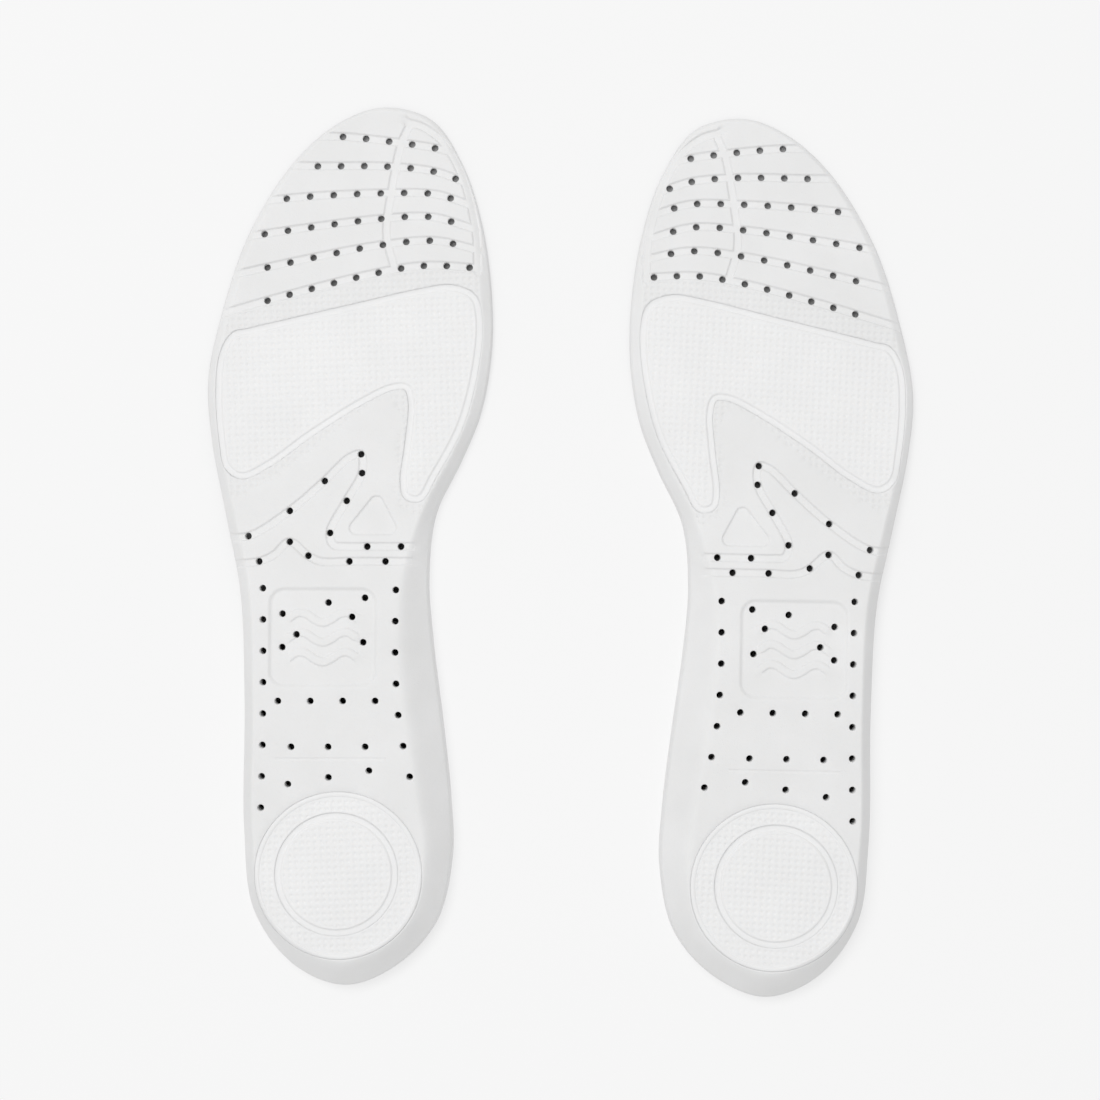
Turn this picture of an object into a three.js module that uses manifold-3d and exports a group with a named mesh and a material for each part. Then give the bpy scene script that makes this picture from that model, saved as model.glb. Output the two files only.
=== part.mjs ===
// A pair of cushioned insoles, lying sole side up with the toes towards +Y.
// Each one is a moulded foam body with a fabric cover bonded to its foot side and three
// cushions let into its sole: one under the ball of the foot, a ring and a disc under the heel.
// The vent holes go right through the foam and its cover.
// Millimetres, +Z up. The right insole lies at -X, the left one is its mirror image at +X.

import * as THREE from 'three';
import { mergeGeometries, mergeVertices } from 'three/addons/utils/BufferGeometryUtils.js';
import Module from 'manifold-3d';

const wasm = await Module();
wasm.setup();

// ---- Driving dimensions ----

const insoleLength = 280; // heel to toe, size 43
const insoleWidth = 91; // across the ball of the foot
const heelSpacing = 132; // between the middles of the two heels
const leftBack = 3.8; // the left insole lies this much further back
const leftTurn = 1.1; // degrees that its toe points outward

const heelThickness = 8; // foam and cover together
const ballThickness = 5.6;
const toeThickness = 4;
const cupDepth = 10; // hollow of the heel cup
const cupSpread = 9; // how much wider the cup's curve is than the wall outside it
const rimWidth = 3.2; // cut edge of foam and cover around the cup
const outerRimLift = 2.5; // the outer rim stands clear of the ground at mid-foot

const coverThickness = 1;
const coverInset = 0.2; // the cover stops this far inside the foam's outline
const clearance = 0.3; // between touching pieces

const holeDiameter = 2.2;
const archHolePitch = 9.85;
const channelWidth = 2.4;
const channelDepth = 0.8;
const grooveWidth = 2; // smooth groove around each cushion
const grooveDepth = 0.7;
const grooveOutset = 0.4; // from the ball cushion's drawn line to the middle of its groove
const ballCushionThickness = 2.5;
const heelCushionThickness = 3.6;
const heelDiscDiameter = 34.8; // textured disc inside its groove
const heelRingDiameter = 52.8;
const badgeWidth = 33.4; // recessed square at the arch
const badgeHeight = 30.6;
const badgeCorner = 4.6;
const badgeDepth = 0.9;
const waveWidth = 2.4; // raised ridges in the badge
const waveTopDepth = 0.3;
const triangleCorner = 2.2;

// ---- Pattern of the sole ----
// Points are drawn on a size 43 pattern, from the middle of the heel, and graded to the
// insole's own length and width. The right insole is seen from below: +X is the inner side.

const patternLength = 280;
const patternWidth = 91;
const lengthGrade = insoleLength / patternLength;
const widthGrade = insoleWidth / patternWidth;

const slopeStart = 70; // the heel is level behind this
const slopeEnd = 225; // the forefoot lies flat in front of this
const toeTaperEnd = 275;
const liftStart = 80; // between these the outer rim rises and comes down again
const liftEnd = 215;
const liftSpread = 20; // the lift fades in over this width from the middle outwards
const cupFade = 0.4; // share of the cup's depth over which its rim becomes a cut edge

// Side wall from the rim upwards: shares of its width and of its height. It is a short steep
// edge, then one even slope that rounds over into the sole.
const wallProfile = [[0, 0], [0.06, 0.42], [0.75, 0.89], [1, 1]];

// Outline, counter-clockwise from the back of the heel: x, y, width of the side wall.
const outlinePattern = [
  [-0.5, 0, 10],
  [15.9, 6.3, 9.6],
  [28.4, 20, 9],
  [33.4, 41, 8.8],
  [32.9, 60, 10.4],
  [30.4, 84, 11.4],
  [27.2, 110, 11],
  [25.9, 130, 8.4],
  [28.2, 150, 4.6],
  [36.3, 167, 4],
  [42.4, 182, 4],
  [45.7, 200, 4.2],
  [46, 218, 4.2],
  [42.9, 242, 3.4],
  [36.4, 262, 2.2],
  [26.6, 276, 1.6],
  [11.5, 280, 1.4],
  [-2.2, 275.5, 1.4],
  [-16.6, 263.4, 1.8],
  [-31.4, 240.3, 2.6],
  [-40.3, 214.5, 3.2],
  [-44.7, 193, 3.2],
  [-43.5, 173.8, 3.4],
  [-38.6, 148, 4],
  [-34.3, 125, 4.4],
  [-33, 90, 4.4],
  [-33.1, 50, 4.4],
  [-29.9, 24, 5.2],
  [-17, 6.4, 8.6],
];

// Cross channels of the toe, from the outer edge inwards, each with its row of holes.
const toeChannels = [
  {
    path: [[-10, 270.4], [-1.6, 270.4], [13.4, 268.9], [27.6, 266.8], [33, 265.4]],
    first: -1.6, holes: 5, pitch: 7.4,
  },
  {
    path: [[-18, 261.2], [-9.6, 261], [12.6, 260.9], [27.5, 259.3], [37, 256]],
    first: -9.6, holes: 7, pitch: 7.4,
  },
  {
    path: [[-27, 249.8], [-12, 251.3], [14, 252.4], [28, 252], [39.5, 248.4]],
    first: -19.5, holes: 8, pitch: 7.5,
  },
  {
    path: [[-35, 238], [-14, 241.1], [11, 244.2], [27, 244.7], [41, 240.6]],
    first: -26.5, holes: 9, pitch: 7.5,
  },
  {
    path: [[-39, 225.6], [-15, 230.9], [11, 235.8], [28, 237.1], [42, 234]],
    first: -25.6, holes: 9, pitch: 7.5,
  },
  {
    path: [[-43, 213], [-18, 220.1], [10, 227], [25, 229.2], [41.5, 228.4]],
    first: -25.6, holes: 10, pitch: 7.3,
  },
];
const bigToeChannel = [[19.6, 273.8], [17, 268], [13.8, 252], [12.4, 239], [14.9, 228.4]];
const innerToeChannel = [[19, 275], [24, 273.4], [30.2, 268.6], [36.5, 257.5], [40.8, 240], [41.3, 227.5]];

// Flex channels across the arch. A hole stands on each point that is marked.
const hole = true;
const flexChannels = [
  [[-41, 143], [-31, 143, hole], [-18, 151, hole], [-7, 160.5, hole], [1, 168], [4.5, 169, hole],
    [4.8, 163, hole], [0, 154.2, hole], [-5.2, 144, hole], [-4, 140.2], [0, 139.7],
    [6.6, 139.7, hole], [17.3, 139.7, hole], [21.4, 139.7]],
  [[-38, 134.2], [-27.5, 135, hole], [-22.6, 137.2], [-17.9, 141.2, hole], [-12, 136.8, hole],
    [-8, 135], [1, 135, hole], [12.4, 135, hole], [20.8, 135]],
];
const trianglePattern = [[-1.4, 143.4], [17.3, 143.4], [9.9, 157.6]];

// Cushion under the ball of the foot, counter-clockwise. Its groove runs a little outside.
const ballCushionPattern = [
  [-31.4, 207.8], [-36, 206.6], [-39.4, 200.4], [-40.4, 188], [-39.2, 173], [-37.6, 165.4],
  [-33.4, 162.5], [-25, 166.2], [-11.5, 176], [5, 186.4], [14.5, 190.8], [19, 190.6], [20.7, 186],
  [19.8, 173], [18.3, 160.4], [19.3, 155.9], [22.9, 155.3], [27, 162], [35.5, 178.1], [40.2, 196],
  [41.5, 212], [39.6, 219], [33, 221.7], [24, 220.6], [3, 215.8],
];

const heelCentre = [-2.8, 36.6]; // of the disc and its groove
const ringCentre = [-2.2, 36.2]; // of the ring's outer border
const badgeCentre = [-7.2, 111.1];
const outerColumn = { path: [[-26.5, 57.6], [-26, 77], [-25.9, 100], [-26.2, 127]], holes: 8 };
const innerColumn = { path: [[20.3, 67.3], [17, 84], [15.7, 103], [15.8, 130]], holes: 7 };
const archRows = [
  { from: [-21.2, 91.1], to: [9.4, 91.1], holes: 4 },
  { from: [-17, 76.7], to: [6.3, 76.7], holes: 3 },
  { from: [-18, 65], to: [7.5, 69.2], holes: 3 },
];
const badgeHoles = [
  [6, 123.5], [-5.5, 122], [-20, 118.5], [2, 117.5], [-15.5, 112], [5.5, 109.5], [-20, 108],
];
const waveCount = 3;
const waveSpan = 21;
const waveSwing = 1.6; // half the height of a wave
const waveSpacing = 6.2;
const waveCycles = 1.5;

// ---- Faceting ----

const outlineSteps = 60;
const cupAngles = [90, 60, 30, 0];
const holeSides = 6;
const circleSides = 30;
const cushionSteps = 44;
const toeChannelSteps = 6;
const flexChannelSteps = 18;
const waveSteps = 8;
const prismBottom = -5;
const prismTop = 40;

// ---- Small helpers ----

const radians = THREE.MathUtils.degToRad;
const mix = THREE.MathUtils.lerp;
const smooth = (from, to, value) => THREE.MathUtils.smoothstep(value, from, to);
const graded = ([x, y, ...rest]) => [x * widthGrade, y * lengthGrade, ...rest];

function curveThrough(points, closed = false) {
  const vectors = points.map(([x, y, z = 0]) => new THREE.Vector3(x, y, z));
  return new THREE.CatmullRomCurve3(vectors, closed, 'centripetal');
}

function evenPoints(points, steps, closed) {
  const spaced = curveThrough(points, closed).getSpacedPoints(steps);
  if (closed) spaced.pop();
  return spaced.map(({ x, y, z }) => [x, y, z]);
}

// Unit vector to the left of the way from one point to another.
function leftOf([ax, ay], [bx, by]) {
  const length = Math.hypot(bx - ax, by - ay);
  return [(ay - by) / length, (bx - ax) / length];
}

// A counter-clockwise closed outline moved inwards by a distance.
function insetOutline(points, distance) {
  return points.map(([x, y], i) => {
    const before = points[(i + points.length - 1) % points.length];
    const after = points[(i + 1) % points.length];
    const [nx, ny] = leftOf(before, after);
    return [x + nx * distance, y + ny * distance];
  });
}

function circleOutline([cx, cy], diameter, sides) {
  return Array.from({ length: sides }, (_, i) => {
    const angle = (2 * Math.PI * i) / sides;
    return [cx + (diameter / 2) * Math.cos(angle), cy + (diameter / 2) * Math.sin(angle)];
  });
}

// A closed outline with each corner rounded by an arc-like curve.
function roundedOutline(corners, radius, steps = 4) {
  return corners.flatMap((corner, i) => {
    const here = new THREE.Vector2(...corner);
    const before = new THREE.Vector2(...corners[(i + corners.length - 1) % corners.length]);
    const after = new THREE.Vector2(...corners[(i + 1) % corners.length]);
    const toBefore = before.sub(here).normalize();
    const toAfter = after.sub(here).normalize();
    const halfAngle = toBefore.angleTo(toAfter) / 2;
    const cut = radius / Math.tan(halfAngle);
    const start = here.clone().addScaledVector(toBefore, cut);
    const end = here.clone().addScaledVector(toAfter, cut);
    const bend = new THREE.QuadraticBezierCurve(start, here, end);
    return bend.getPoints(steps).map(({ x, y }) => [x, y]);
  });
}

// A strip of one width along an open path.
function stripOutline(path, width, steps) {
  const centre = evenPoints(path, steps, false);
  const side = (sign) => centre.map(([x, y], i) => {
    const before = centre[Math.max(i - 1, 0)];
    const after = centre[Math.min(i + 1, centre.length - 1)];
    const [nx, ny] = leftOf(before, after);
    return [x + (sign * nx * width) / 2, y + (sign * ny * width) / 2];
  });
  return [...side(-1), ...side(1).reverse()];
}

// ---- Solids ----

function toSolid(geometry) {
  const bare = geometry.clone();
  bare.deleteAttribute('normal');
  bare.deleteAttribute('uv');
  const merged = mergeVertices(bare, 1e-4);
  return new wasm.Manifold(new wasm.Mesh({
    numProp: 3,
    vertProperties: new Float32Array(merged.attributes.position.array),
    triVerts: new Uint32Array(merged.index.array),
  }));
}

function toGeometry(solid) {
  const mesh = solid.getMesh();
  const geometry = new THREE.BufferGeometry();
  geometry.setAttribute('position', new THREE.BufferAttribute(new Float32Array(mesh.vertProperties), 3));
  geometry.setIndex(new THREE.BufferAttribute(new Uint32Array(mesh.triVerts), 1));
  return geometry;
}

function prismGeometry(outline) {
  const shape = new THREE.Shape(outline.map(([x, y]) => new THREE.Vector2(x, y)));
  const prism = new THREE.ExtrudeGeometry(shape, { depth: prismTop - prismBottom, bevelEnabled: false });
  return prism.translate(0, 0, prismBottom);
}

const prism = (outline) => toSolid(prismGeometry(outline));

const joined = (solids) => solids.reduce((whole, solid) => whole.add(solid));

// ---- Heights along the insole ----

function heights(y) {
  const along = y / lengthGrade;
  const slope = smooth(slopeStart, slopeEnd, along);
  const taper = smooth(slopeEnd, toeTaperEnd, along);
  const thickness = mix(mix(heelThickness, ballThickness, slope), toeThickness, taper);
  const hollow = cupDepth * (1 - slope);
  return { hollow, sole: hollow + thickness };
}

// The outline's points, each with its way inwards, wall width, cup factor and rim height.
function outlineSamples() {
  const points = evenPoints(outlinePattern.map(graded), outlineSteps, true);
  return points.map(([x, y, wall], i) => {
    const before = points[(i + points.length - 1) % points.length];
    const after = points[(i + 1) % points.length];
    const outerSide = smooth(0, liftSpread, -x);
    const liftRange = liftEnd - liftStart;
    const liftShare = THREE.MathUtils.clamp((y / lengthGrade - liftStart) / liftRange, 0, 1);
    const rimZ = outerRimLift * outerSide * Math.sin(Math.PI * liftShare) ** 2;
    const cup = smooth(0, cupDepth * cupFade, heights(y).hollow);
    return { x, y, wall, inward: leftOf(before, after), rimZ, cup };
  });
}

// One closed loop around the insole, at a distance inside the outline that the caller gives.
function loopAt(samples, insetOf, heightOf) {
  return samples.map((sample) => {
    const inset = insetOf(sample);
    const x = sample.x + sample.inward[0] * inset;
    const y = sample.y + sample.inward[1] * inset;
    return [x, y, heightOf(sample, heights(y))];
  });
}

// Side wall from the rim up to the edge of the sole.
function wallLoops(samples, rimHeight) {
  return wallProfile.map(([across, up]) => loopAt(
    samples,
    (s) => s.wall * across,
    (s, h) => mix(rimHeight(s), h.sole, up),
  ));
}

// Curve of the cup, offset outwards and up from the foot side by a thickness.
function cupLoops(samples, offset) {
  const edgeInset = (s) => mix(offset > 0 ? coverInset / 2 : coverInset, rimWidth - offset, s.cup);
  return cupAngles.map((degrees) => {
    const angle = radians(degrees);
    const spread = (s) => s.wall + cupSpread + offset;
    return loopAt(
      samples,
      (s) => edgeInset(s) + spread(s) * (1 - Math.cos(angle)),
      (s, h) => {
        const edge = s.rimZ + mix(offset, 0, s.cup);
        return mix(edge, h.hollow + offset, Math.sin(angle));
      },
    );
  });
}

// Triangles across a loop, laid like the rungs of a ladder from heel to toe.
function capTriangles(loop) {
  const count = loop.length;
  const indices = loop.map((_, i) => i);
  const heel = indices.reduce((best, i) => (loop[i][1] < loop[best][1] ? i : best));
  const toe = indices.reduce((best, i) => (loop[i][1] > loop[best][1] ? i : best));
  const triangles = [];
  let inner = (heel + 1) % count;
  let outer = (heel + count - 1) % count;
  triangles.push([outer, heel, inner]);
  while (inner !== outer) {
    const nextInner = (inner + 1) % count;
    const nextOuter = (outer + count - 1) % count;
    const innerFirst = inner !== toe && (outer === toe || loop[nextInner][1] < loop[nextOuter][1]);
    const next = innerFirst ? nextInner : nextOuter;
    if (next !== (innerFirst ? outer : inner)) triangles.push([outer, inner, next]);
    if (innerFirst) inner = next;
    else outer = next;
  }
  return triangles;
}

const distance = ([ax, ay, az], [bx, by, bz]) => Math.hypot(bx - ax, by - ay, bz - az);

// A closed skin through loops, from the lowest cap round the rim to the highest cap.
// Each four-sided facet folds along its shorter diagonal, so that nested skins stay apart.
function loftGeometry(loops) {
  const count = loops[0].length;
  const index = [];
  loops.slice(1).forEach((upper, band) => {
    const lower = loops[band];
    for (let i = 0; i < count; i += 1) {
      const next = (i + 1) % count;
      const low = band * count;
      const high = low + count;
      const [a, b, c, d] = [low + i, low + next, high + next, high + i];
      if (distance(lower[i], upper[next]) < distance(lower[next], upper[i])) index.push(a, b, c, a, c, d);
      else index.push(a, b, d, b, c, d);
    }
  });
  const last = (loops.length - 1) * count;
  capTriangles(loops[0]).forEach(([a, b, c]) => index.push(a, c, b));
  capTriangles(loops[loops.length - 1]).forEach(([a, b, c]) => index.push(last + a, last + b, last + c));
  const geometry = new THREE.BufferGeometry();
  geometry.setAttribute('position', new THREE.Float32BufferAttribute(loops.flat(2), 3));
  geometry.setIndex(index);
  return geometry;
}

// ---- Blanks of the body and the cover ----

const samples = outlineSamples();
const foamOffset = coverThickness + clearance;
const foamRim = (s) => s.rimZ + mix(foamOffset, 0, s.cup);
const foamBlank = loftGeometry([...cupLoops(samples, foamOffset), ...wallLoops(samples, foamRim)]);
const foamSolid = toSolid(foamBlank);
const coverBlank = loftGeometry([...cupLoops(samples, 0), ...cupLoops(samples, coverThickness).reverse()]);

const loweredFoam = (depth) => toSolid(foamBlank.clone().translate(0, 0, -depth));

// What a recess of one depth takes out of the sole: its floor keeps the sole's own slope.
const recessIn = (area, depth) => area.subtract(loweredFoam(depth));

// ---- Sole relief and ventilation holes ----

function channelArea() {
  const toePaths = [...toeChannels.map(({ path }) => path), bigToeChannel, innerToeChannel];
  const strip = (path, steps) => prism(stripOutline(path.map(graded), channelWidth, steps));
  const toeStrips = toePaths.map((path) => strip(path, toeChannelSteps));
  const flexStrips = flexChannels.map((path) => strip(path.map(([x, y]) => [x, y]), flexChannelSteps));
  return joined([...toeStrips, ...flexStrips]);
}

function badgeOutline() {
  const [cx, cy] = graded(badgeCentre);
  const x = badgeWidth / 2;
  const y = badgeHeight / 2;
  const corners = [[cx - x, cy - y], [cx + x, cy - y], [cx + x, cy + y], [cx - x, cy + y]];
  return roundedOutline(corners, badgeCorner);
}

function waveArea() {
  const [cx, cy] = graded(badgeCentre);
  const pointsPerWave = 9;
  const ridges = Array.from({ length: waveCount }, (_, wave) => {
    const middle = cy + (wave - (waveCount - 1) / 2) * waveSpacing;
    const path = Array.from({ length: pointsPerWave }, (__, i) => {
      const share = i / (pointsPerWave - 1);
      const swing = waveSwing * Math.sin(2 * Math.PI * waveCycles * share);
      return [cx + (share - 0.5) * waveSpan, middle + swing];
    });
    return prism(stripOutline(path, waveWidth, waveSteps));
  });
  return joined(ridges);
}

// Holes at one pitch along a toe channel, from the place where it passes a given x.
function toeRowHoles({ path, first: firstX, holes: count, pitch }) {
  const curve = curveThrough(path.map(graded));
  const length = curve.getLength();
  const fine = 400;
  const startX = firstX * widthGrade;
  let start = 0;
  while (start < fine && curve.getPointAt(start / fine).x < startX) start += 1;
  const first = (start / fine) * length;
  const step = Math.min(pitch * widthGrade, (length - first) / (count - 1));
  return Array.from({ length: count }, (_, i) => {
    const point = curve.getPointAt(Math.min((first + i * step) / length, 1));
    return [point.x, point.y];
  });
}

function columnHoles({ path, holes }) {
  const curve = curveThrough(path.map(graded));
  return Array.from({ length: holes }, (_, i) => {
    const along = (i * archHolePitch * lengthGrade) / curve.getLength();
    const point = curve.getPointAt(Math.min(along, 1));
    return [point.x, point.y];
  });
}

function archRowHoles({ from, to, holes }) {
  const [start, end] = [graded(from), graded(to)];
  return Array.from({ length: holes }, (_, i) => {
    const share = i / (holes - 1);
    return [mix(start[0], end[0], share), mix(start[1], end[1], share)];
  });
}

function holePlaces() {
  return [
    ...toeChannels.flatMap(toeRowHoles),
    ...flexChannels.flat().filter(([, , marked]) => marked).map(graded).map(([x, y]) => [x, y]),
    ...badgeHoles.map(graded),
    ...columnHoles(outerColumn),
    ...columnHoles(innerColumn),
    ...archRows.flatMap(archRowHoles),
  ];
}

function holeArea() {
  const drills = holePlaces().map((place) => prismGeometry(circleOutline(place, holeDiameter, holeSides)));
  return toSolid(mergeGeometries(drills));
}

// ---- Cushions ----

const ballLine = evenPoints(ballCushionPattern.map(graded), cushionSteps, true);
const ballGroove = insetOutline(ballLine, -grooveOutset);
const heelMiddle = graded(heelCentre);
const ringMiddle = graded(ringCentre);
const discGrooveDiameter = heelDiscDiameter + 2 * grooveWidth;

// A cushion stands flush in the sole on a wider foot, whose top is the floor of its groove.
function cushionWithFoot(padOutline, footOutline, thickness) {
  const pad = prism(padOutline).intersect(foamSolid);
  const foot = prism(footOutline).intersect(loweredFoam(grooveDepth));
  return pad.add(foot).subtract(loweredFoam(thickness));
}

function ballCushion() {
  const pad = insetOutline(ballGroove, grooveWidth / 2);
  const foot = insetOutline(ballGroove, clearance - grooveWidth / 2);
  return cushionWithFoot(pad, foot, ballCushionThickness);
}

function heelDisc() {
  const pad = circleOutline(heelMiddle, heelDiscDiameter, circleSides);
  const foot = circleOutline(heelMiddle, discGrooveDiameter - 2 * clearance, circleSides);
  return cushionWithFoot(pad, foot, heelCushionThickness);
}

function heelRing() {
  const outside = prism(circleOutline(ringMiddle, heelRingDiameter - 2 * clearance, circleSides));
  const inside = prism(circleOutline(heelMiddle, discGrooveDiameter, circleSides));
  return outside.subtract(inside).intersect(foamSolid).subtract(loweredFoam(heelCushionThickness));
}

const ventHoles = holeArea();
const topCover = () => toSolid(coverBlank).subtract(ventHoles);

function foamBody() {
  const badge = prism(badgeOutline());
  const waves = waveArea();
  const triangle = prism(roundedOutline(trianglePattern.map(graded), triangleCorner));
  const ballPocket = prism(insetOutline(ballGroove, -grooveWidth / 2));
  const heelPocket = prism(circleOutline(ringMiddle, heelRingDiameter, circleSides));
  const cuts = [
    recessIn(channelArea().add(triangle), channelDepth),
    recessIn(badge.subtract(waves), badgeDepth),
    recessIn(waves, waveTopDepth),
    recessIn(ballPocket, ballCushionThickness + clearance),
    recessIn(heelPocket, heelCushionThickness + clearance),
    ventHoles,
  ];
  return cuts.reduce((body, cut) => body.subtract(cut), foamSolid);
}

// ---- Materials ----

const foamWhite = { color: 0xf1f1ef, roughness: 0.85, metalness: 0 };
const cushionWhite = { color: 0xe9e9e8, roughness: 0.9, metalness: 0 };
const coverGrey = { color: 0x8d9095, roughness: 0.95, metalness: 0 };

// ---- Assembly ----

const pieces = [
  { name: 'foam_body', geometry: toGeometry(foamBody()), look: foamWhite },
  { name: 'ball_cushion', geometry: toGeometry(ballCushion()), look: cushionWhite },
  { name: 'heel_ring_cushion', geometry: toGeometry(heelRing()), look: cushionWhite },
  { name: 'heel_disc_cushion', geometry: toGeometry(heelDisc()), look: cushionWhite },
  { name: 'top_cover', geometry: toGeometry(topCover()), look: coverGrey },
];

function mirrored(geometry) {
  const copy = geometry.clone().scale(-1, 1, 1);
  const { array } = copy.index;
  for (let i = 0; i < array.length; i += 3) {
    [array[i + 1], array[i + 2]] = [array[i + 2], array[i + 1]];
  }
  return copy;
}

function insole(side, shape) {
  const group = new THREE.Group();
  pieces.forEach(({ name, geometry, look }) => {
    const mesh = new THREE.Mesh(shape(geometry), new THREE.MeshStandardMaterial(look));
    mesh.name = `${side}_${name}`;
    group.add(mesh);
  });
  return group;
}

const rightInsole = insole('right', (geometry) => geometry.clone());
rightInsole.position.set(-heelSpacing / 2, 0, 0);

const leftInsole = insole('left', mirrored);
leftInsole.position.set(heelSpacing / 2, -leftBack, 0);
leftInsole.rotation.z = -radians(leftTurn);

// The origin is the middle of the pair's box, on the surface that they lie on.
const pair = new THREE.Group();
pair.add(rightInsole, leftInsole);
const middle = new THREE.Box3().setFromObject(pair, true).getCenter(new THREE.Vector3());
pair.position.set(-middle.x, -middle.y, 0);

export default pair;
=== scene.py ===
"""A pair of cushioned foam insoles, lying sole side up on a pale floor, seen from straight above.

Shapes are worked out in millimetres in the right insole's own frame: the origin is under the back
of its heel, +X is its inner side, +Y runs to the toes and +Z goes up out of the sole. The left
insole is its mirror image. Both are put where the CAD model has its heel discs.
"""

import math

import bpy
import numpy as np
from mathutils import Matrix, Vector
from mathutils.geometry import delaunay_2d_cdt
from mathutils.kdtree import KDTree


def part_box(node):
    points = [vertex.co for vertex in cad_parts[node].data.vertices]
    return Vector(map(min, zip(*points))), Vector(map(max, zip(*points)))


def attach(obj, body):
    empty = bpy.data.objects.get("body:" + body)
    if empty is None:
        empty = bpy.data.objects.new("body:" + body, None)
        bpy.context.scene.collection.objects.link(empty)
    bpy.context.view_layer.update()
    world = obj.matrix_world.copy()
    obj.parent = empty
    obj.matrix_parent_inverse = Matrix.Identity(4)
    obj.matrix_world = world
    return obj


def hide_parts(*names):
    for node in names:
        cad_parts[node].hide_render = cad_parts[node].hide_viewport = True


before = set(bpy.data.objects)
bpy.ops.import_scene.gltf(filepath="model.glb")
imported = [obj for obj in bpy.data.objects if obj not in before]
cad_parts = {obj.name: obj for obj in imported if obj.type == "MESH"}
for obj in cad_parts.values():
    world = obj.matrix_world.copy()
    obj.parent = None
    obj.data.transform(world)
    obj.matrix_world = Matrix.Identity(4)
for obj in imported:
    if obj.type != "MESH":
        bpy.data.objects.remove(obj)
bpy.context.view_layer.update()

MM = 0.001

# ---- Sizes of the CAD model, in millimetres ----

HEEL_THICKNESS = 8
BALL_THICKNESS = 5.6
TOE_THICKNESS = 4
CUP_DEPTH = 10
CUP_SPREAD = 9
RIM_WIDTH = 3.2
OUTER_RIM_LIFT = 2.5
COVER_THICKNESS = 1
COVER_INSET = 0.2
FOAM_OFFSET = 1.3  # from the foot side up to the foam
HOLE_RADIUS = 1.1
ARCH_HOLE_PITCH = 9.85
CHANNEL_HALF = 1.2
CHANNEL_DEPTH = 0.8
GROOVE_HALF = 1
GROOVE_DEPTH = 0.7
GROOVE_OUTSET = 0.4  # from the ball cushion's drawn line to the middle of its groove
BALL_PAD_THICKNESS = 2.5
HEEL_PAD_THICKNESS = 3.6
POCKET_CLEARANCE = 0.3
DISC_RADIUS = 17.4
DISC_GROOVE_RADIUS = 19.4
RING_RADIUS = 26.4
BADGE_SIZE = (33.4, 30.6)
BADGE_CORNER = 4.6
BADGE_DEPTH = 0.9
TRIANGLE_CORNER = 2.2
LEFT_TURN = math.radians(1.1)

SLOPE = (70, 225)  # y, from the full heel cup to the flat forefoot
TOE_TAPER = (225, 275)  # y, from the ball's thickness to the toe's
LIFT = (80, 215)  # y, where the outer rim rises
LIFT_SPREAD = 20  # x, over which that lift comes in towards the outer side
CUP_FADE = 4  # depth of the hollow at which the rim is at its full width

# Outline, counter-clockwise from the back of the heel: x, y, width of the side wall.
OUTLINE = [
    (-0.5, 0, 10), (15.9, 6.3, 9.6), (28.4, 20, 9), (33.4, 41, 8.8), (32.9, 60, 10.4), (30.4, 84, 11.4),
    (27.2, 110, 11), (25.9, 130, 8.4), (28.2, 150, 4.6), (36.3, 167, 4), (42.4, 182, 4),
    (45.7, 200, 4.2), (46, 218, 4.2), (42.9, 242, 3.4), (36.4, 262, 2.2), (26.6, 276, 1.6),
    (11.5, 280, 1.4), (-2.2, 275.5, 1.4), (-16.6, 263.4, 1.8), (-31.4, 240.3, 2.6),
    (-40.3, 214.5, 3.2), (-44.7, 193, 3.2), (-43.5, 173.8, 3.4), (-38.6, 148, 4), (-34.3, 125, 4.4),
    (-33, 90, 4.4), (-33.1, 50, 4.4), (-29.9, 24, 5.2), (-17, 6.4, 8.6),
]

# Cross channels of the toe: path, x of the first hole, number of holes and their pitch.
TOE_CHANNELS = [
    ([(-10, 270.4), (-1.6, 270.4), (13.4, 268.9), (27.6, 266.8), (33, 265.4)], -1.6, 5, 7.4),
    ([(-18, 261.2), (-9.6, 261), (12.6, 260.9), (27.5, 259.3), (37, 256)], -9.6, 7, 7.4),
    ([(-27, 249.8), (-12, 251.3), (14, 252.4), (28, 252), (39.5, 248.4)], -19.5, 8, 7.5),
    ([(-35, 238), (-14, 241.1), (11, 244.2), (27, 244.7), (41, 240.6)], -26.5, 9, 7.5),
    ([(-39, 225.6), (-15, 230.9), (11, 235.8), (28, 237.1), (42, 234)], -25.6, 9, 7.5),
    ([(-43, 213), (-18, 220.1), (10, 227), (25, 229.2), (41.5, 228.4)], -25.6, 10, 7.3),
]
BIG_TOE_CHANNEL = [(19.6, 273.8), (17, 268), (13.8, 252), (12.4, 239), (14.9, 228.4)]
INNER_TOE_CHANNEL = [
    (19, 275), (24, 273.4), (30.2, 268.6), (36.5, 257.5), (40.8, 240), (41.3, 227.5),
]

# Flex channels across the arch. A hole stands on each point that is marked.
HOLE = True
FLEX_CHANNELS = [
    [(-41, 143), (-31, 143, HOLE), (-18, 151, HOLE), (-7, 160.5, HOLE), (1, 168), (4.5, 169, HOLE),
     (4.8, 163, HOLE), (0, 154.2, HOLE), (-5.2, 144, HOLE), (-4, 140.2), (0, 139.7),
     (6.6, 139.7, HOLE), (17.3, 139.7, HOLE), (21.4, 139.7)],
    [(-38, 134.2), (-27.5, 135, HOLE), (-22.6, 137.2), (-17.9, 141.2, HOLE), (-12, 136.8, HOLE),
     (-8, 135), (1, 135, HOLE), (12.4, 135, HOLE), (20.8, 135)],
]
TRIANGLE = [(-1.4, 143.4), (17.3, 143.4), (9.9, 157.6)]

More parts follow.
